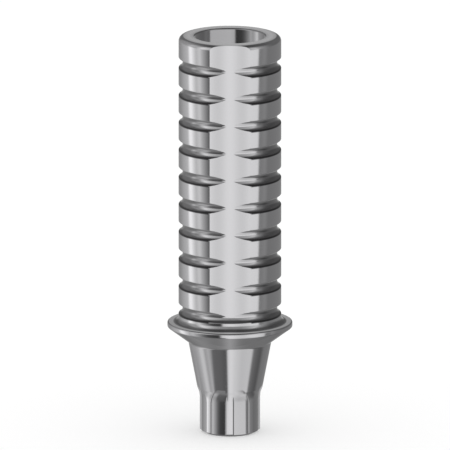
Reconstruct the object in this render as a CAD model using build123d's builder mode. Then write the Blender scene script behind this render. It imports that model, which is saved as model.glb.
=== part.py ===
from build123d import *
import os
from math import atan2, cos, radians, sin, sqrt, tan

# Ringed dental abutment, turned and milled from one titanium bar.
# The origin is the centre of the small end, +Z is the axis, and one milled flat faces -Y.
# All sizes are millimetres and degrees.

# Ringed body
overall_height = 14.5
body_diameter = 3.68
top_edge_radius = 0.18
mouth_chamfer = 0.05
top_land = 0.97
groove_pitch = 1.0
groove_depth = 0.145
groove_nose_radius = 0.195
groove_edge_break = 0.03

# Milled flats on opposite sides of the rings, just deeper than the grooves
flat_count = 2
flat_below_groove = 0.004

# Flange
flange_overhang = 0.4
flange_rim_height = 0.17
flange_rim_break = 0.05
flange_top_rise = 0.03
flange_cove_radius = 0.13
flange_underside_height = 0.56
flange_to_first_groove = 0.49

# Locking taper
taper_top_diameter = 2.98
taper_length = 1.674
taper_half_angle = 10.9
taper_top_cove_radius = 0.12

# Index at the small end: keys, each standing in an arched recess that ramps out upwards
index_diameter = 2.158
index_length = 1.47
index_cove_radius = 0.7
index_cove_rise = 0.17
index_cove_share = 0.9
index_end_chamfer = 0.11
index_end_chamfer_width = 0.19
key_count = 4
key_height = 0.079
key_width = 0.2
recess_half_angle = 40.5
recess_rise = 0.01
recess_corner_radius = 0.36
recess_wall_draft = 34.0
recess_ramp_rise = 0.005
recess_ramp_angle = 38.0
recess_ramp_radius = 0.8

# Screw channel, open right through, with a conical seat for the screw head. The hole below the
# seat leaves a wall of index_wall behind the recesses.
channel_diameter = 2.52
seat_above_flange = 0.31
seat_half_angle = 45.0
index_wall = 0.22
screw_hole_chamfer = 0.04

# Heights above the small end, worked out upwards
taper_end_height = index_length + index_cove_rise
taper_top_height = taper_end_height + taper_length
rim_bottom_height = taper_top_height + flange_underside_height
rim_top_height = rim_bottom_height + flange_rim_height
cove_height = rim_top_height + flange_top_rise
lowest_groove_height = rim_top_height + flange_to_first_groove
groove_count = 1 + round((overall_height - top_land - lowest_groove_height) / groove_pitch)
groove_heights = [lowest_groove_height + n * groove_pitch for n in range(groove_count)]
seat_top_height = rim_top_height + seat_above_flange
recess_height = index_length + recess_rise
ramp_corner_height = index_length + recess_ramp_rise

# Radii
body_radius = body_diameter / 2
flange_radius = body_radius + flange_overhang
taper_top_radius = taper_top_diameter / 2
taper_end_outer_radius = taper_top_radius - taper_length * tan(radians(taper_half_angle))
index_radius = index_diameter / 2
index_root_radius = index_radius - key_height
channel_radius = channel_diameter / 2
screw_hole_radius = index_root_radius - index_wall

# The cove above the index is limited by the short slope that it ends on
index_step = taper_end_outer_radius - index_radius
index_slope_length = sqrt(index_step**2 + index_cove_rise**2)
index_slope_turn = atan2(index_step, index_cove_rise)
index_cove_limit = index_cove_share * index_slope_length / tan(index_slope_turn / 2)

# Places that follow from them
seat_bottom_height = seat_top_height - (channel_radius - screw_hole_radius) / tan(radians(seat_half_angle))
groove_centre_radius = body_radius - groove_depth + groove_nose_radius
groove_half_width = sqrt(groove_nose_radius**2 - (groove_centre_radius - body_radius) ** 2)
flat_to_axis = body_radius - groove_depth - flat_below_groove
recess_wall_foot = index_root_radius * cos(radians(recess_half_angle))
recess_half_width = index_root_radius * sin(radians(recess_half_angle))
ramp_end_height = ramp_corner_height + (flange_radius - index_root_radius) / tan(radians(recess_ramp_angle))
key_foot_width = key_width + 2 * index_radius * tan(radians(recess_wall_draft))
key_flare_width = key_width + 2 * (flange_radius - index_radius) * tan(radians(recess_wall_draft))

# What the milling tool takes out for one recess. Its walls lean outwards, its floor follows the
# root cylinder and ramps out on to the taper, and a key is left standing in its middle.
with BuildPart() as recess_cut:
    with BuildSketch(Plane.XZ.offset(recess_wall_foot)) as arch:
        Rectangle(2 * recess_half_width, 2 * recess_height)
        fillet(arch.vertices().group_by(Axis.Y)[-1], recess_corner_radius)
    extrude(amount=flange_radius - recess_wall_foot, taper=-recess_wall_draft)

    # The floor, kept out of the cut
    with BuildSketch(Plane.XZ) as floor:
        with BuildLine():
            Polyline(
                (0, -rim_top_height),
                (index_root_radius, -rim_top_height),
                (index_root_radius, ramp_corner_height),
                (flange_radius, ramp_end_height),
                (0, ramp_end_height),
                close=True,
            )
        make_face()
        ramp_corner = floor.vertices().sort_by_distance((index_root_radius, ramp_corner_height))[0]
        fillet(ramp_corner, recess_ramp_radius)
    revolve(axis=Axis.Z, mode=Mode.SUBTRACT)

    # The key, also kept out. It narrows outwards to its face and flares where it meets the taper.
    with BuildSketch(Plane.XY.offset(-rim_top_height)):
        with BuildLine():
            Polyline(
                (key_foot_width / 2, 0),
                (key_width / 2, -index_radius),
                (key_flare_width / 2, -flange_radius),
                (-key_flare_width / 2, -flange_radius),
                (-key_width / 2, -index_radius),
                (-key_foot_width / 2, 0),
                close=True,
            )
        make_face()
    extrude(amount=2 * rim_top_height, mode=Mode.SUBTRACT)

with BuildPart() as abutment:
    # Half section of the turned blank, with the screw channel in it
    with BuildSketch(Plane.XZ) as section:
        with BuildLine():
            Polyline(
                (screw_hole_radius, 0),
                (index_radius - index_end_chamfer_width, 0),
                (index_radius, index_end_chamfer),
                (index_radius, index_length),
                (taper_end_outer_radius, taper_end_height),
                (taper_top_radius, taper_top_height),
                (flange_radius, rim_bottom_height),
                (flange_radius, rim_top_height),
                (body_radius, cove_height),
                (body_radius, overall_height),
                (channel_radius, overall_height),
                (channel_radius, seat_top_height),
                (screw_hole_radius, seat_bottom_height),
                close=True,
            )
        make_face()

        # Rounded corners of the section, from the small end up
        for corner_radius, corner_height, blend in (
            (index_radius, index_length, min(index_cove_radius, index_cove_limit)),
            (taper_top_radius, taper_top_height, taper_top_cove_radius),
            (body_radius, cove_height, flange_cove_radius),
            (body_radius, overall_height, top_edge_radius),
        ):
            corner = section.vertices().sort_by_distance((corner_radius, corner_height))[0]
            fillet(corner, blend)

        # Chamfered corners
        for corner_radius, corner_height, cut in (
            (screw_hole_radius, 0, screw_hole_chamfer),
            (flange_radius, rim_bottom_height, flange_rim_break),
            (flange_radius, rim_top_height, flange_rim_break),
            (channel_radius, overall_height, mouth_chamfer),
        ):
            corner = section.vertices().sort_by_distance((corner_radius, corner_height))[0]
            chamfer(corner, cut)

        # Ring grooves, cut by a round-nosed tool, with their edges broken
        with Locations(*[(groove_centre_radius, height) for height in groove_heights]):
            Circle(groove_nose_radius, mode=Mode.SUBTRACT)
        for height in groove_heights:
            for side in (-1, 1):
                edge = (body_radius, height + side * groove_half_width)
                chamfer(section.vertices().sort_by_distance(edge)[0], groove_edge_break)
    revolve(axis=Axis.Z)

    # Flats, from the middle of the lowest groove up to the top face
    with BuildSketch(Plane.XY.offset(lowest_groove_height)):
        with PolarLocations(flat_to_axis + body_radius / 2, flat_count, start_angle=-90):
            Rectangle(body_radius, body_diameter)
    extrude(amount=overall_height - lowest_groove_height, mode=Mode.SUBTRACT)

    # Recesses round the small end
    with PolarLocations(0, key_count):
        add(recess_cut.part, mode=Mode.SUBTRACT)

abutment.part.label = "abutment_body"
os.makedirs("parts", exist_ok=True)
export_step(abutment.part, "parts/abutment_body.step")

print("solids", len(abutment.part.solids()), "volume", round(abutment.part.volume, 3), "mm3")
print("box", abutment.part.bounding_box())
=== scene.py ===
# %% [markdown]
# # A turned titanium abutment
#
# This lesson dresses one small machined part: a ringed sleeve with two milled flats, a thin
# flange, a locking taper and a keyed end. It is cut from a single bar, so there is one piece to
# make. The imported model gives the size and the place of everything. What it can't give is a
# surface smooth enough for a mirror finish, because its facets would show in every reflection.
# So the piece is turned again here, finely, from the same section.

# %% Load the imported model
import math

import bmesh
import bpy
from mathutils import Matrix, Vector


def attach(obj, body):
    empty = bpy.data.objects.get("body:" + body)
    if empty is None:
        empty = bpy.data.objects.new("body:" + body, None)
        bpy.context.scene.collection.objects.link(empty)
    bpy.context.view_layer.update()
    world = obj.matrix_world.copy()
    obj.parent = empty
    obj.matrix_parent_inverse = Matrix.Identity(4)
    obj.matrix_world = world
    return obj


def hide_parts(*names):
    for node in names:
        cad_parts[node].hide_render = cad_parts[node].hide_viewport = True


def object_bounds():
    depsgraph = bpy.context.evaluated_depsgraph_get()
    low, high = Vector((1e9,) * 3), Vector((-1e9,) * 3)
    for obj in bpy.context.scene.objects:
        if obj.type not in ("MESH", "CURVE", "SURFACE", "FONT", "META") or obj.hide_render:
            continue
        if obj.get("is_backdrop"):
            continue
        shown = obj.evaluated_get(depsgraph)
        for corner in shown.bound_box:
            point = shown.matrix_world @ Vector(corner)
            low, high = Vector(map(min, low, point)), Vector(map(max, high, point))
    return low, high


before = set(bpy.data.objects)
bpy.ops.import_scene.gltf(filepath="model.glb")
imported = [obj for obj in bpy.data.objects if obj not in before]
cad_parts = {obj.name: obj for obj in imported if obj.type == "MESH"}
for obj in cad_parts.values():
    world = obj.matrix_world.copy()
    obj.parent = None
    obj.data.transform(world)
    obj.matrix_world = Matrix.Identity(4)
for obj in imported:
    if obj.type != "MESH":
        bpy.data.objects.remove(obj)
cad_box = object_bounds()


def print_box(title, corners):
    """Prints the two corners of a box in millimetres."""
    print(title, [tuple(round(1000 * c, 3) for c in corner) for corner in corners], "mm")


print_box("CAD box", cad_box)

# %% [markdown]
# ## The sizes
#
# The real part is turned from bar, so a few radii and heights describe nearly all of it. They are
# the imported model's own, in millimetres, apart from two places that the photograph showed better
# afterwards: the flange's cove is rounder here and ends on a flat top, and the recesses are a
# little shallower and higher. The work is done in millimetres and scaled to metres once, at the
# end, because a fillet of 0.03 is easier to read than one of 0.00003.

# %% Driving sizes
MILLIMETRE = 0.001

overall_height = 14.5
body_radius = 1.84
top_edge_radius = 0.18
mouth_edge_radius = 0.05
groove_count = 10
groove_pitch = 1.0
groove_half_width = 0.188
groove_flank_angle = math.radians(22)
groove_nose_radius = 0.192
groove_edge_radius = 0.03
lowest_groove_height = 4.534

flange_radius = 2.24
flange_rim_bottom = 3.874
flange_rim_top = 4.044
flange_rim_radius = 0.05
flange_cove_height = 4.046
flange_cove_radius = 0.2

taper_top_radius = 1.49
taper_top_height = 3.314
taper_top_cove_radius = 0.12
taper_end_radius = 1.1676
taper_end_height = 1.64

index_radius = 1.079
index_length = 1.47
index_cove_radius = 0.7
index_end_break = 0.11
index_end_break_width = 0.19

channel_radius = 1.26
seat_top_height = 4.354
seat_bottom_height = 3.874
screw_hole_radius = 0.78
screw_hole_edge_radius = 0.04
print(groove_count, "grooves at", groove_pitch, "mm on a body", 2 * body_radius, "mm across")

# %% [markdown]
# ## Drawing the section
#
# A lathe part is one outline carried round an axis. It could be a curve object, but a curve's
# roundings are hard to give a size. So the outline is drawn with a pen: it goes straight to the
# next corner, and where a corner is rounded, a vertex is spun about the centre of the rounding.
# Spinning a single vertex leaves an arc of edges behind it.

# %% A pen for outlines
STEP_ANGLE = math.radians(12)


def pen_line(bm, pen, place):
    """Draws a straight edge from the pen to a place, and returns the pen's new vertex."""
    if pen is None:
        return bm.verts.new(place)
    grown = bmesh.ops.extrude_vert_indiv(bm, verts=[pen])["verts"][0]
    grown.co = place
    return grown


def pen_arc(bm, pen, centre, angle, axis):
    """Draws an arc from the pen about a centre, and returns the pen's new vertex."""
    steps = max(2, round(angle / STEP_ANGLE))
    spun = bmesh.ops.spin(bm, geom=[pen], cent=centre, axis=axis, angle=angle, steps=steps)
    return next(item for item in spun["geom_last"] if isinstance(item, bmesh.types.BMVert))


def draw_outline(bm, corners):
    """Draws a closed outline through corners, each a place and the radius it is rounded to."""
    old_edges = set(bm.edges)
    pen = first = None
    for number, (corner, radius) in enumerate(corners):
        to_before = (corners[number - 1][0] - corner).normalized()
        to_after = (corners[(number + 1) % len(corners)][0] - corner).normalized()
        half_turn = (math.pi - to_before.angle(to_after)) / 2
        pen = pen_line(bm, pen, corner + to_before * radius * math.tan(half_turn))
        first = first or pen
        if radius:
            centre = corner + (to_before + to_after).normalized() * radius / math.cos(half_turn)
            pen = pen_arc(bm, pen, centre, 2 * half_turn, to_after.cross(to_before))
    bm.edges.new((pen, first))
    return [edge for edge in bm.edges if edge not in old_edges]


print("an arc of 90 degrees takes", round(math.radians(90) / STEP_ANGLE), "steps")

# %% [markdown]
# ## The section of the blank
#
# The outline runs up the outside from the small end and comes back down through the screw
# channel. A ring groove was cut by a round-nosed tool, which is a V with a rounded root: three
# corners, of which the middle one lies deep inside and is rounded back to the groove's floor.

# %% Corners of the section
def at(radius, height, rounding=0.0):
    """A corner of the section, at a radius and a height, with its rounding."""
    return (Vector((radius, 0, height)), rounding)


def groove_corners(height):
    """The three corners of one ring groove, from its lower edge up."""
    apex_radius = body_radius - groove_half_width / math.tan(groove_flank_angle)
    return [
        at(body_radius, height - groove_half_width, groove_edge_radius),
        at(apex_radius, height, groove_nose_radius),
        at(body_radius, height + groove_half_width, groove_edge_radius),
    ]


section_corners = [
    at(screw_hole_radius, 0, screw_hole_edge_radius),
    at(index_radius - index_end_break_width, 0),
    at(index_radius, index_end_break),
    at(index_radius, index_length, index_cove_radius),
    at(taper_end_radius, taper_end_height),
    at(taper_top_radius, taper_top_height, taper_top_cove_radius),
    at(flange_radius, flange_rim_bottom, flange_rim_radius),
    at(flange_radius, flange_rim_top, flange_rim_radius),
    at(body_radius, flange_cove_height, flange_cove_radius),
]
for number in range(groove_count):
    section_corners += groove_corners(lowest_groove_height + number * groove_pitch)
section_corners += [
    at(body_radius, overall_height, top_edge_radius),
    at(channel_radius, overall_height, mouth_edge_radius),
    at(channel_radius, seat_top_height),
    at(screw_hole_radius, seat_bottom_height),
]
print(len(section_corners), "corners in the section")

# %% [markdown]
# ## Turning the blank
#
# One full spin of the section makes the blank. It goes right round on itself, so the last copy is
# merged with the first, and the ring has no seam and no poles. The section is drawn by hand in
# one direction, so the normals are made to agree afterwards.

# %% Spin the section
TURN_STEPS = 240
SAME_PLACE = 1e-5


def new_object(name, bm):
    """Makes an object of that name from a bmesh, which is freed."""
    mesh = bpy.data.meshes.new(name)
    bm.to_mesh(mesh)
    bm.free()
    made = bpy.data.objects.new(name, mesh)
    bpy.context.scene.collection.objects.link(made)
    return made


def turned_object(name, corners):
    """Makes a solid of revolution from the corners of its section."""
    turning = bmesh.new()
    draw_outline(turning, corners)
    bmesh.ops.spin(
        turning,
        geom=turning.verts[:] + turning.edges[:],
        cent=(0, 0, 0),
        axis=(0, 0, 1),
        angle=math.tau,
        steps=TURN_STEPS,
        use_merge=True,
    )
    bmesh.ops.remove_doubles(turning, verts=turning.verts[:], dist=SAME_PLACE)
    bmesh.ops.recalc_face_normals(turning, faces=turning.faces[:])
    return new_object(name, turning)


abutment = turned_object("turned_abutment", section_corners)
print("blank:", len(abutment.data.vertices), "vertices,", len(abutment.data.polygons), "faces")

# %% [markdown]
# ## What the mill takes away
#
# Two flats run down the rings and stop in the middle of the lowest groove. They are a hair deeper
# than the grooves, so each groove fades out as it comes to the middle of a flat. Round the small
# end are four arched recesses with a key left standing in each. Moving the blank's own vertices
# would spoil its even rings. So every cut is made as a solid of its own first, and then all of
# them are taken from the blank in one Boolean, as a mill would.

# %% Cutters for the two flats
flat_to_axis = 1.691
flat_half_width = math.sqrt(body_radius**2 - flat_to_axis**2)
reach = 2 * flange_radius


def add_box(bm, low, high):
    """Adds a box between two corners."""
    low, high = Vector(low), Vector(high)
    cube = bmesh.ops.create_cube(bm, size=1)["verts"]
    bmesh.ops.scale(bm, vec=high - low, verts=cube)
    bmesh.ops.translate(bm, vec=(low + high) / 2, verts=cube)


cuts = bmesh.new()
for side in (-1, 1):
    near, far = sorted((side * flat_to_axis, side * reach))
    add_box(cuts, (-reach, near, lowest_groove_height), (reach, far, 2 * overall_height))
print("flats reach", round(flat_half_width, 3), "mm each side of their middle")

# %% Cutter for one recess
index_root_radius = 1.02
recess_height = 1.54
recess_half_angle = math.radians(40.5)
recess_corner_radius = 0.36
recess_wall_draft = math.radians(34)
wall_foot = index_root_radius * math.cos(recess_half_angle)
wall_run = flange_radius - wall_foot


def arch_corners(depth, growth):
    """The arch of a recess at a depth from the axis, larger all round by a growth."""
    half_width = index_root_radius * math.sin(recess_half_angle) + growth
    top = recess_height + growth
    rounding = recess_corner_radius + growth
    return [
        (Vector((-half_width, -depth, -overall_height)), 0),
        (Vector((half_width, -depth, -overall_height)), 0),
        (Vector((half_width, -depth, top)), rounding),
        (Vector((-half_width, -depth, top)), rounding),
    ]


arch = bmesh.new()
wall_growth = wall_run * math.tan(recess_wall_draft)
loops = draw_outline(arch, arch_corners(wall_foot, 0))
loops += draw_outline(arch, arch_corners(wall_foot + wall_run, wall_growth))
bmesh.ops.bridge_loops(arch, edges=loops)
bmesh.ops.holes_fill(arch, edges=arch.edges[:])
bmesh.ops.recalc_face_normals(arch, faces=arch.faces[:])
recess = new_object("recess", arch)
print("recess cutter:", len(recess.data.polygons), "faces")

# %% [markdown]
# The floor of a recess follows the root of the small end and then ramps out on to the taper. That
# floor is turned as a ring, and the ring is kept out of the cutter. So is the key, whose sides lean
# like the walls of the recess, because the same tool cuts both.

# %% Keep the floor
recess_ramp_height = 1.525
recess_ramp_angle = math.radians(38)
recess_ramp_radius = 0.8
ramp_rise = (flange_radius - index_root_radius) / math.tan(recess_ramp_angle)
ramp_end_height = recess_ramp_height + ramp_rise
well_below = -2 * overall_height


def cut_away(target, tool):
    """Takes one object's solid from another's and removes the tool."""
    boolean = target.modifiers.new("cut", "BOOLEAN")
    boolean.operation = "DIFFERENCE"
    boolean.solver = "EXACT"
    boolean.object = tool
    depsgraph = bpy.context.evaluated_depsgraph_get()
    result = bpy.data.meshes.new_from_object(target.evaluated_get(depsgraph))
    target.modifiers.remove(boolean)
    old_mesh = target.data
    target.data = result
    result.name = target.name
    bpy.data.meshes.remove(old_mesh)
    bpy.data.meshes.remove(tool.data)


ring_corners = [
    at(wall_foot / 2, well_below),
    at(index_root_radius, well_below),
    at(index_root_radius, recess_ramp_height, recess_ramp_radius),
    at(flange_radius, ramp_end_height),
    at(wall_foot / 2, ramp_end_height),
]
cut_away(recess, turned_object("floor_ring", ring_corners))
print("the ramp ends", round(ramp_end_height, 3), "mm up, outside the taper")

# %% Keep the key
key_width = 0.2


def half_key(distance):
    """Half the width that is kept for the key, at a distance from the axis."""
    return key_width / 2 + abs(distance - index_radius) * math.tan(recess_wall_draft)


key_corners = [
    (Vector((side * half_key(distance), -distance, well_below)), 0)
    for side, distance in (
        (1, 0),
        (1, index_radius),
        (1, reach),
        (-1, reach),
        (-1, index_radius),
        (-1, 0),
    )
]
key = bmesh.new()
outline = draw_outline(key, key_corners)
foot = bmesh.ops.contextual_create(key, geom=outline)["faces"]
grown = bmesh.ops.extrude_face_region(key, geom=foot)["geom"]
grown_vertices = [item for item in grown if isinstance(item, bmesh.types.BMVert)]
bmesh.ops.translate(key, vec=(0, 0, -2 * well_below), verts=grown_vertices)
bmesh.ops.recalc_face_normals(key, faces=key.faces[:])
cut_away(recess, new_object("key", key))
print("key:", round(2 * half_key(index_radius), 3), "mm wide at its top")

# %% Make the cuts
key_count = 4

for number in range(key_count):
    old_vertices = set(cuts.verts)
    cuts.from_mesh(recess.data)
    bmesh.ops.rotate(
        cuts,
        cent=(0, 0, 0),
        matrix=Matrix.Rotation(math.tau * number / key_count, 3, "Z"),
        verts=[vertex for vertex in cuts.verts if vertex not in old_vertices],
    )
bpy.data.meshes.remove(recess.data)
cut_away(abutment, new_object("cuts", cuts))
print("milled:", len(abutment.data.vertices), "vertices,", len(abutment.data.polygons), "faces")

# %% [markdown]
# ## Smooth and sharp edges
#
# The lands and the roundings of the real part run on without facets. More faces would come close
# to that, but smooth shading does it with the ones that are there. An edge stays sharp where the
# faces on its two sides turn by more than an arc's own step. A flat meets a groove at a very small
# angle near its middle, so the edges round each flat are marked sharp one by one. Otherwise the
# shading of the groove would bleed into the flat.

# %% Mark the sharp edges and scale to metres
SHARP_ANGLE = 1.5 * STEP_ANGLE
SLIVER = 2e-5
FLAT_TOLERANCE = 1e-4
LEAST_FLAT_FACING = 0.99999


def is_flat(face):
    """Whether a face lies on one of the two flats."""
    distance = abs(face.calc_center_median().y)
    facing = abs(face.normal.y)
    return facing > LEAST_FLAT_FACING and abs(distance - flat_to_axis) < FLAT_TOLERANCE


surface = bmesh.new()
surface.from_mesh(abutment.data)
bmesh.ops.remove_doubles(surface, verts=surface.verts[:], dist=SLIVER)
bmesh.ops.dissolve_degenerate(surface, edges=surface.edges[:], dist=SLIVER)
flat_faces = [face for face in surface.faces if is_flat(face)]
for face in surface.faces:
    face.smooth = True
for edge in surface.edges:
    edge.smooth = edge.calc_face_angle(0) < SHARP_ANGLE
for face in flat_faces:
    for edge in face.edges:
        edge.smooth = False
bmesh.ops.scale(surface, vec=(MILLIMETRE,) * 3, verts=surface.verts[:])
surface.to_mesh(abutment.data)
surface.free()
print(len(flat_faces), "flat faces,", len(abutment.data.polygons), "faces in all")

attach(abutment, "root")
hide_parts("abutment_body")

# %% [markdown]
# ## The metal
#
# Polished titanium is a grey mirror. A painted image could carry its marks, and the painted shade
# and painted reflection bands that its colour holds here, but it would need seams and would blur
# close to, so all of them are worked out from where each point lies on the part. Its Object
# coordinates say that: the distance from the axis and the height tell a land from a groove. The
# first helpers add the nodes for such sums.

# %% Helpers for node trees
def add_math(tree, operation, *values):
    """Adds one Math node, fed with numbers or with the results of other nodes."""
    node = tree.nodes.new("ShaderNodeMath")
    node.operation = operation
    for socket, value in zip(node.inputs, values):
        if isinstance(value, (int, float)):
            socket.default_value = value
        else:
            tree.links.new(value, socket)
    return node.outputs["Value"]


def add_chain(tree, operation, first, *others):
    """Carries one operation through any number of values, such as a product of them all."""
    for other in others:
        first = add_math(tree, operation, first, other)
    return first


def add_share(tree, value, start, end):
    """Adds a node that gives 0 before one limit, 1 past the other and a slope between them."""
    node = tree.nodes.new("ShaderNodeMapRange")
    node.inputs["From Min"].default_value = start
    node.inputs["From Max"].default_value = end
    tree.links.new(value, node.inputs["Value"])
    return node.outputs["Result"]


# %% Where a point lies on the part
metal = bpy.data.materials.new("polished_titanium")
metal.use_nodes = True
metal_tree = metal.node_tree

place = metal_tree.nodes.new("ShaderNodeTexCoord").outputs["Object"]
place_parts = metal_tree.nodes.new("ShaderNodeSeparateXYZ")
metal_tree.links.new(place, place_parts.inputs["Vector"])
across, height = place_parts.outputs["X"], place_parts.outputs["Z"]
towards_flat = add_math(metal_tree, "ABSOLUTE", place_parts.outputs["Y"])
squares = [add_math(metal_tree, "MULTIPLY", way, way) for way in (across, towards_flat)]
radius = add_math(metal_tree, "SQRT", add_math(metal_tree, "ADD", *squares))
print("the metal's tree starts with", len(metal_tree.nodes), "nodes")

# %% [markdown]
# The colour of the grooves, except at their ends beside the flats, of the cove above the flange, of
# the screw channel and of the recesses is darkened with painted shade, for the shade that falls in
# these hollows. Each of them is a zone: a product of shares, each of which fades in between two
# places. The fades keep the zones' borders soft.

# %% Zones of painted shade
# How far painted shade darkens the metal's colour in each hollow
GROOVE_PAINTED_SHADE = 0.52
CHANNEL_PAINTED_SHADE = 0.387
RECESS_PAINTED_SHADE = 0.155

# Pairs of places in millimetres, from where a zone starts to where it is full
ABOVE_FLANGE = (flange_cove_height + 0.15, flange_cove_height + 0.25)
BELOW_TOP_LAND = (13.9, 13.8)
UNDER_LANDS = (body_radius - 0.01, body_radius - 0.06)
AWAY_FROM_FLATS = (1.48, 1.2)
ABOVE_COVE_FOOT = (flange_cove_height, flange_cove_height + 0.02)
BELOW_COVE_TOP = (flange_cove_height + 0.18, flange_cove_height + 0.08)
COVE_AWAY_FROM_FLATS = (1.6, 1.2)
AT_CHANNEL_WALL = (channel_radius + 0.04, channel_radius + 0.01)
AT_RECESS_FLOOR = (index_radius - 0.01, index_root_radius + 0.01)
BELOW_RAMP_TOP = (1.95, 1.75)


def zone(value, limits):
    """The share that a value has of a zone, whose limits are in millimetres."""
    start, end = limits
    return add_share(metal_tree, value, MILLIMETRE * start, MILLIMETRE * end)


def painted_darkening(painted_darkness, *shares):
    """How far the painted darkening goes in a zone that all the shares have a part in: painted
    shade, and on the flats painted reflection bands.
    """
    return add_chain(metal_tree, "MULTIPLY", *shares, painted_darkness)


above_flange = zone(height, ABOVE_FLANGE)
below_top_land = zone(height, BELOW_TOP_LAND)
# Painted shade in the grooves, the cove, the channel and the recesses
groove = painted_darkening(
    GROOVE_PAINTED_SHADE,
    zone(radius, UNDER_LANDS),
    above_flange,
    below_top_land,
    zone(towards_flat, AWAY_FROM_FLATS),
)
cove = painted_darkening(
    GROOVE_PAINTED_SHADE,
    zone(height, ABOVE_COVE_FOOT),
    zone(height, BELOW_COVE_TOP),
    zone(towards_flat, COVE_AWAY_FROM_FLATS),
)
channel = painted_darkening(CHANNEL_PAINTED_SHADE, zone(radius, AT_CHANNEL_WALL), above_flange)
recess_floor = painted_darkening(
    RECESS_PAINTED_SHADE, zone(radius, AT_RECESS_FLOOR), zone(height, BELOW_RAMP_TOP)
)
print("dull zones: grooves, cove, channel and recesses")

# %% [markdown]
# Two finer painted marks are left. A thin line of painted shade darkens the lower lip of each
# groove as far as the flats. The grooves repeat, so the remainder of the height after whole
# pitches gives the place of every lip at once. The flats carry faint darker lengthwise bands of
# painted reflection, which are a cosine across the flat.

# %% Lips and bands
# How far the painted shade on the groove lips darkens the metal
LIP_PAINTED_SHADE = 0.90
ABOVE_LIP_BOTTOM = (0.26, 0.28)
BELOW_LIP_TOP = (0.36, 0.32)
BESIDE_FLATS = (flat_to_axis - 0.005, flat_to_axis - 0.03)
OUTER_WALL = (body_radius - 0.14, body_radius - 0.08)
# How far the painted reflection bands darken the flats
BAND_PAINTED_REFLECTION = 0.147
BAND_SPACING = 0.86
ON_FLAT = (flat_to_axis - 0.005, flat_to_axis - 0.001)

lowest_pitch_start = MILLIMETRE * (lowest_groove_height - groove_pitch / 2)
within_pitch = add_math(
    metal_tree,
    "MODULO",
    add_math(metal_tree, "SUBTRACT", height, lowest_pitch_start),
    MILLIMETRE * groove_pitch,
)
# Painted shade along the lower lip of each groove
lip = painted_darkening(
    LIP_PAINTED_SHADE,
    zone(within_pitch, ABOVE_LIP_BOTTOM),
    zone(within_pitch, BELOW_LIP_TOP),
    zone(towards_flat, BESIDE_FLATS),
    zone(radius, OUTER_WALL),
    above_flange,
    below_top_land,
)
# Painted reflection: faint darker lengthwise bands across each flat
band_turn = add_math(metal_tree, "MULTIPLY", across, math.tau / (MILLIMETRE * BAND_SPACING))
band_wave = add_math(metal_tree, "SUBTRACT", 1, add_math(metal_tree, "COSINE", band_turn))
band = painted_darkening(BAND_PAINTED_REFLECTION / 2, band_wave, zone(towards_flat, ON_FLAT))
# All the painted shade and painted reflection bands, as one amount of darkening
painted_darkness = add_chain(metal_tree, "MAXIMUM", groove, cove, channel, recess_floor, lip, band)
print("bands across a flat:", round(2 * flat_half_width / BAND_SPACING, 1))

# %% [markdown]
# What the lathe leaves is very fine rings, far closer together than the grooves. Real rings would
# take millions of faces, so a noise makes them. It is stretched round the axis: it changes quickly
# with height and hardly at all round the part. The same noise varies the roughness and raises a
# bump of two thousandths of a millimetre.

# %% Titanium
BRIGHT_METAL = (0.641, 0.637, 0.651, 1)
# The colour that painted shade and the painted reflection bands darken the metal towards
PAINTED_SHADE_AND_BAND_COLOUR = (0.02, 0.02, 0.02, 1)
RINGS_PER_METRE = (400, 400, 24000)
RING_DETAIL = 3
SMOOTHEST, ROUGHEST = 0.08, 0.15
RING_STRENGTH = 0.12
RING_DEPTH = 0.002

titanium = metal_tree.nodes["Principled BSDF"].inputs
titanium["Metallic"].default_value = 1

colour = metal_tree.nodes.new("ShaderNodeMix")
colour.data_type = "RGBA"
colour.inputs["A"].default_value = BRIGHT_METAL
colour.inputs["B"].default_value = PAINTED_SHADE_AND_BAND_COLOUR
metal_tree.links.new(painted_darkness, colour.inputs["Factor"])
metal_tree.links.new(colour.outputs["Result"], titanium["Base Color"])

stretch = metal_tree.nodes.new("ShaderNodeMapping")
stretch.inputs["Scale"].default_value = RINGS_PER_METRE
rings = metal_tree.nodes.new("ShaderNodeTexNoise")
rings.inputs["Scale"].default_value = 1
rings.inputs["Detail"].default_value = RING_DETAIL
metal_tree.links.new(place, stretch.inputs["Vector"])
metal_tree.links.new(stretch.outputs["Vector"], rings.inputs["Vector"])

gloss = metal_tree.nodes.new("ShaderNodeMapRange")
gloss.inputs["To Min"].default_value = SMOOTHEST
gloss.inputs["To Max"].default_value = ROUGHEST
metal_tree.links.new(rings.outputs["Fac"], gloss.inputs["Value"])
metal_tree.links.new(gloss.outputs["Result"], titanium["Roughness"])

marks = metal_tree.nodes.new("ShaderNodeBump")
marks.inputs["Strength"].default_value = RING_STRENGTH
marks.inputs["Distance"].default_value = MILLIMETRE * RING_DEPTH
metal_tree.links.new(rings.outputs["Fac"], marks.inputs["Height"])
metal_tree.links.new(marks.outputs["Normal"], titanium["Normal"])

abutment.data.materials.clear()
abutment.data.materials.append(metal)
print("the metal's tree has", len(metal_tree.nodes), "nodes")
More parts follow.
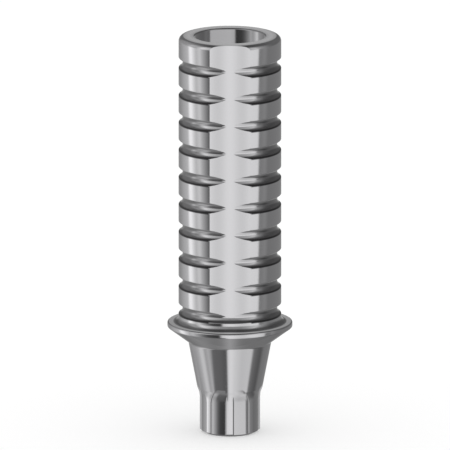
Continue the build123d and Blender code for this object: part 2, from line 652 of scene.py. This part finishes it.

# %% [markdown]
# ## The studio
#
# A mirror shows its surroundings, so the surroundings are the lighting. Lamps would only leave
# spots on it. A photographer stands pale and dark panels round such a part instead, and four rings
# of them stand round this one. Upright walls show the level ring, the taper shows the low one and
# the flange's underside the one under that. The lower halves of the grooves and the rounded top
# edge show the high one, and what faces up more steeply shows a dark ceiling. A wall that faces an
# angle shows what stands at twice that angle, so the bands on the part are half as wide.

# %% Panels round the part
# The panels' edges were placed one by one. Each is an angle from the front, positive to the right,
# and a brightness, and the brightness runs evenly from one edge to the next.
UNDER_RING = (
    (-180, 0.45), (-166, 0.31), (-155, 0.26), (-127, 0.22), (-82, 0.30), (-16, 0.25),
    (-6, 0.90), (40, 0.88), (62, 0.70), (82, 0.40), (127, 0.22), (155, 0.22),
    (166, 0.31), (180, 0.45),
)
LOW_RING = (
    (-180, 0.24), (-164, 0.22), (-152, 0.40), (-127, 0.41), (-110, 0.59), (-100, 0.80),
    (-92, 0.78), (-84, 0.48), (-72, 0.60), (-63, 0.45), (-56, 0.18), (-30, 0.16),
    (-12, 0.12), (-6, 0.90), (3, 1.02), (20, 0.86), (40, 0.74), (72, 0.79),
    (80, 0.22), (94, 0.16), (108, 0.12), (122, 0.24), (150, 0.25), (165, 0.20),
    (180, 0.24),
)
LEVEL_RING = (
    (-180, 0.52), (-168, 0.37), (-148, 0.34), (-126, 0.54), (-109, 0.68), (-103, 1.25),
    (-97, 1.25), (-90, 0.95), (-82, 0.68), (-72, 0.84), (-65, 0.58), (-50, 0.20),
    (-40, 0.09), (-20, 0.06), (-14, 0.95), (0, 1.03), (40, 0.97), (66, 0.95),
    (70, 0.26), (85, 0.32), (96, 0.24), (130, 0.26), (165, 0.28), (174, 0.48),
    (180, 0.52),
)
HIGH_RING = (
    (-180, 0.52), (-176, 0.17), (-160, 0.17), (-147, 0.34), (-116, 0.42), (-101, 0.66),
    (-84, 0.50), (-66, 1.00), (-52, 0.75), (-30, 0.48), (0, 0.32), (25, 0.38),
    (48, 0.58), (62, 0.72), (74, 0.40), (101, 0.19), (120, 0.15), (150, 0.16),
    (176, 0.13), (180, 0.52),
)
CEILING = 0.08

# Elevations in degrees between which one ring gives way to the next one up
UNDER_TO_LOW = (-62, -50)
LOW_TO_LEVEL = (-30, -17)
LEVEL_TO_HIGH = (-5, 4)
HIGH_TO_CEILING = (32, 62)
print("panel edges:", [len(ring) for ring in (UNDER_RING, LOW_RING, LEVEL_RING, HIGH_RING)])

# %% [markdown]
# The rings could be modelled as curved sheets that give light, but each would need its own object.
# A world shader holds all four. The direction of a ray is turned into an angle round the part and
# an elevation. Each ring is a colour ramp over the angle, and the elevation mixes the rings.

# %% Direction of a ray
HALF_TURN = 180

world = bpy.data.worlds.new("studio")
world.use_nodes = True
world_tree = world.node_tree

direction = world_tree.nodes.new("ShaderNodeTexCoord").outputs["Generated"]
direction_parts = world_tree.nodes.new("ShaderNodeSeparateXYZ")
world_tree.links.new(direction, direction_parts.inputs["Vector"])
forwards = add_math(world_tree, "MULTIPLY", direction_parts.outputs["Y"], -1)
turned = add_math(world_tree, "ARCTAN2", direction_parts.outputs["X"], forwards)
way_round = add_share(world_tree, turned, math.radians(-HALF_TURN), math.radians(HALF_TURN))
elevation = add_math(world_tree, "ARCSINE", direction_parts.outputs["Z"])
print("the world's tree starts with", len(world_tree.nodes), "nodes")

# %% Rings as colour ramps
def grey(brightness):
    """A colour socket's value for a brightness."""
    return (brightness, brightness, brightness, 1)


def ring_colour(panels):
    """Adds a colour ramp that runs from behind, round the front, to behind again."""
    ramp = world_tree.nodes.new("ShaderNodeValToRGB")
    elements = ramp.color_ramp.elements
    elements[0].color = grey(panels[0][1])
    elements[1].color = grey(panels[-1][1])
    for degrees, brightness in panels[1:-1]:
        elements.new((degrees + HALF_TURN) / (2 * HALF_TURN)).color = grey(brightness)
    world_tree.links.new(way_round, ramp.inputs["Fac"])
    return ramp.outputs["Color"]


def mixed(factor, first, second):
    """Mixes two colours, each a brightness or the result of another node."""
    node = world_tree.nodes.new("ShaderNodeMix")
    node.data_type = "RGBA"
    world_tree.links.new(factor, node.inputs["Factor"])
    for socket, value in ((node.inputs["A"], first), (node.inputs["B"], second)):
        if isinstance(value, float):
            socket.default_value = grey(value)
        else:
            world_tree.links.new(value, socket)
    return node.outputs["Result"]


panels_seen = ring_colour(UNDER_RING)
for (lower, upper), above in (
    (UNDER_TO_LOW, ring_colour(LOW_RING)),
    (LOW_TO_LEVEL, ring_colour(LEVEL_RING)),
    (LEVEL_TO_HIGH, ring_colour(HIGH_RING)),
    (HIGH_TO_CEILING, CEILING),
):
    share = add_share(world_tree, elevation, math.radians(lower), math.radians(upper))
    panels_seen = mixed(share, panels_seen, above)
print("the world's tree has", len(world_tree.nodes), "nodes")

# %% [markdown]
# Only glossy rays, which are the metal's reflections, see the panels. Every other ray meets plain
# white, so the floor is lit evenly and the background stays white. The part doesn't show in its
# own reflections either. On the real part the far wall of the channel is as bright as the walls
# outside, and it would be black if it showed the wall in front of it.

# %% Light the scene
ELSEWHERE = 1.0

is_reflection = world_tree.nodes.new("ShaderNodeLightPath").outputs["Is Glossy Ray"]
surroundings = mixed(is_reflection, ELSEWHERE, panels_seen)
world_tree.links.new(surroundings, world_tree.nodes["Background"].inputs["Color"])
abutment.visible_glossy = False

scene = bpy.context.scene
scene.world = world
scene.view_settings.view_transform = "Standard"
print("lit by", scene.world.name, "with the view transform", scene.view_settings.view_transform)

# %% [markdown]
# ## The floor
#
# The photograph's ground is plain white. A sheet of matt paper does for it, and keeps the part's
# soft contact shadow. It glows a little, so that the shadow stays pale and the sheet is white to
# the edge of the view. The metal doesn't see it, because the panels reach below its level.

# %% Floor
FLOOR_HALF_WIDTH = 0.5
PAPER_BRIGHTNESS = 0.7
PAPER_ROUGHNESS = 0.9
PAPER_GLOW = 0.33

paper = bpy.data.materials.new("white_paper")
paper.use_nodes = True
paper_inputs = paper.node_tree.nodes["Principled BSDF"].inputs
paper_inputs["Base Color"].default_value = grey(PAPER_BRIGHTNESS)
paper_inputs["Roughness"].default_value = PAPER_ROUGHNESS
paper_inputs["Specular IOR Level"].default_value = 0
paper_inputs["Emission Color"].default_value = grey(1)
paper_inputs["Emission Strength"].default_value = PAPER_GLOW

sheet = bmesh.new()
bmesh.ops.create_grid(sheet, x_segments=1, y_segments=1, size=FLOOR_HALF_WIDTH)
floor = new_object("floor", sheet)
floor.data.materials.append(paper)
floor.visible_glossy = False
floor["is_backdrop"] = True
print("floor", 2 * FLOOR_HALF_WIDTH, "m wide")

# %% [markdown]
# ## The camera
#
# The photograph was taken from so far away that the part's sides stay parallel, so the camera is
# orthographic. It looks slightly down, and its frame is as wide as the photograph's. Where the
# axis and the foot stand in the photograph says where the camera looks.

# %% Camera
IMAGE_PIXELS = 450
PIXELS_PER_MILLIMETRE = 27.92
VIEW_ELEVATION = math.radians(12.4)
AXIS_PIXEL = 229.92
FOOT_PIXEL = 431.1
CAMERA_DISTANCE = 0.2
NEAREST, FARTHEST = 0.001, 10

right_shift = (IMAGE_PIXELS / 2 - AXIS_PIXEL) / PIXELS_PER_MILLIMETRE
rise = (FOOT_PIXEL - IMAGE_PIXELS / 2) / PIXELS_PER_MILLIMETRE
target = MILLIMETRE * Vector((right_shift, 0, rise / math.cos(VIEW_ELEVATION)))
backwards = Vector((0, -math.cos(VIEW_ELEVATION), math.sin(VIEW_ELEVATION)))

camera_data = bpy.data.cameras.new("camera")
camera_data.type = "ORTHO"
camera_data.ortho_scale = MILLIMETRE * IMAGE_PIXELS / PIXELS_PER_MILLIMETRE
camera_data.clip_start = NEAREST
camera_data.clip_end = FARTHEST
camera = bpy.data.objects.new("camera", camera_data)
camera.location = target + CAMERA_DISTANCE * backwards
camera.rotation_euler = (math.pi / 2 - VIEW_ELEVATION, 0, 0)
scene.collection.objects.link(camera)
scene.camera = camera
print("camera frame", round(1000 * camera_data.ortho_scale, 2), "mm wide")

# %% [markdown]
# ## The box of the dressed part
#
# The dressed part must fill the same box as the model that it stands for. Its box is printed, as
# the model's was after the import.

# %% Print the visual box
visual_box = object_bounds()
print_box("visual box", visual_box)
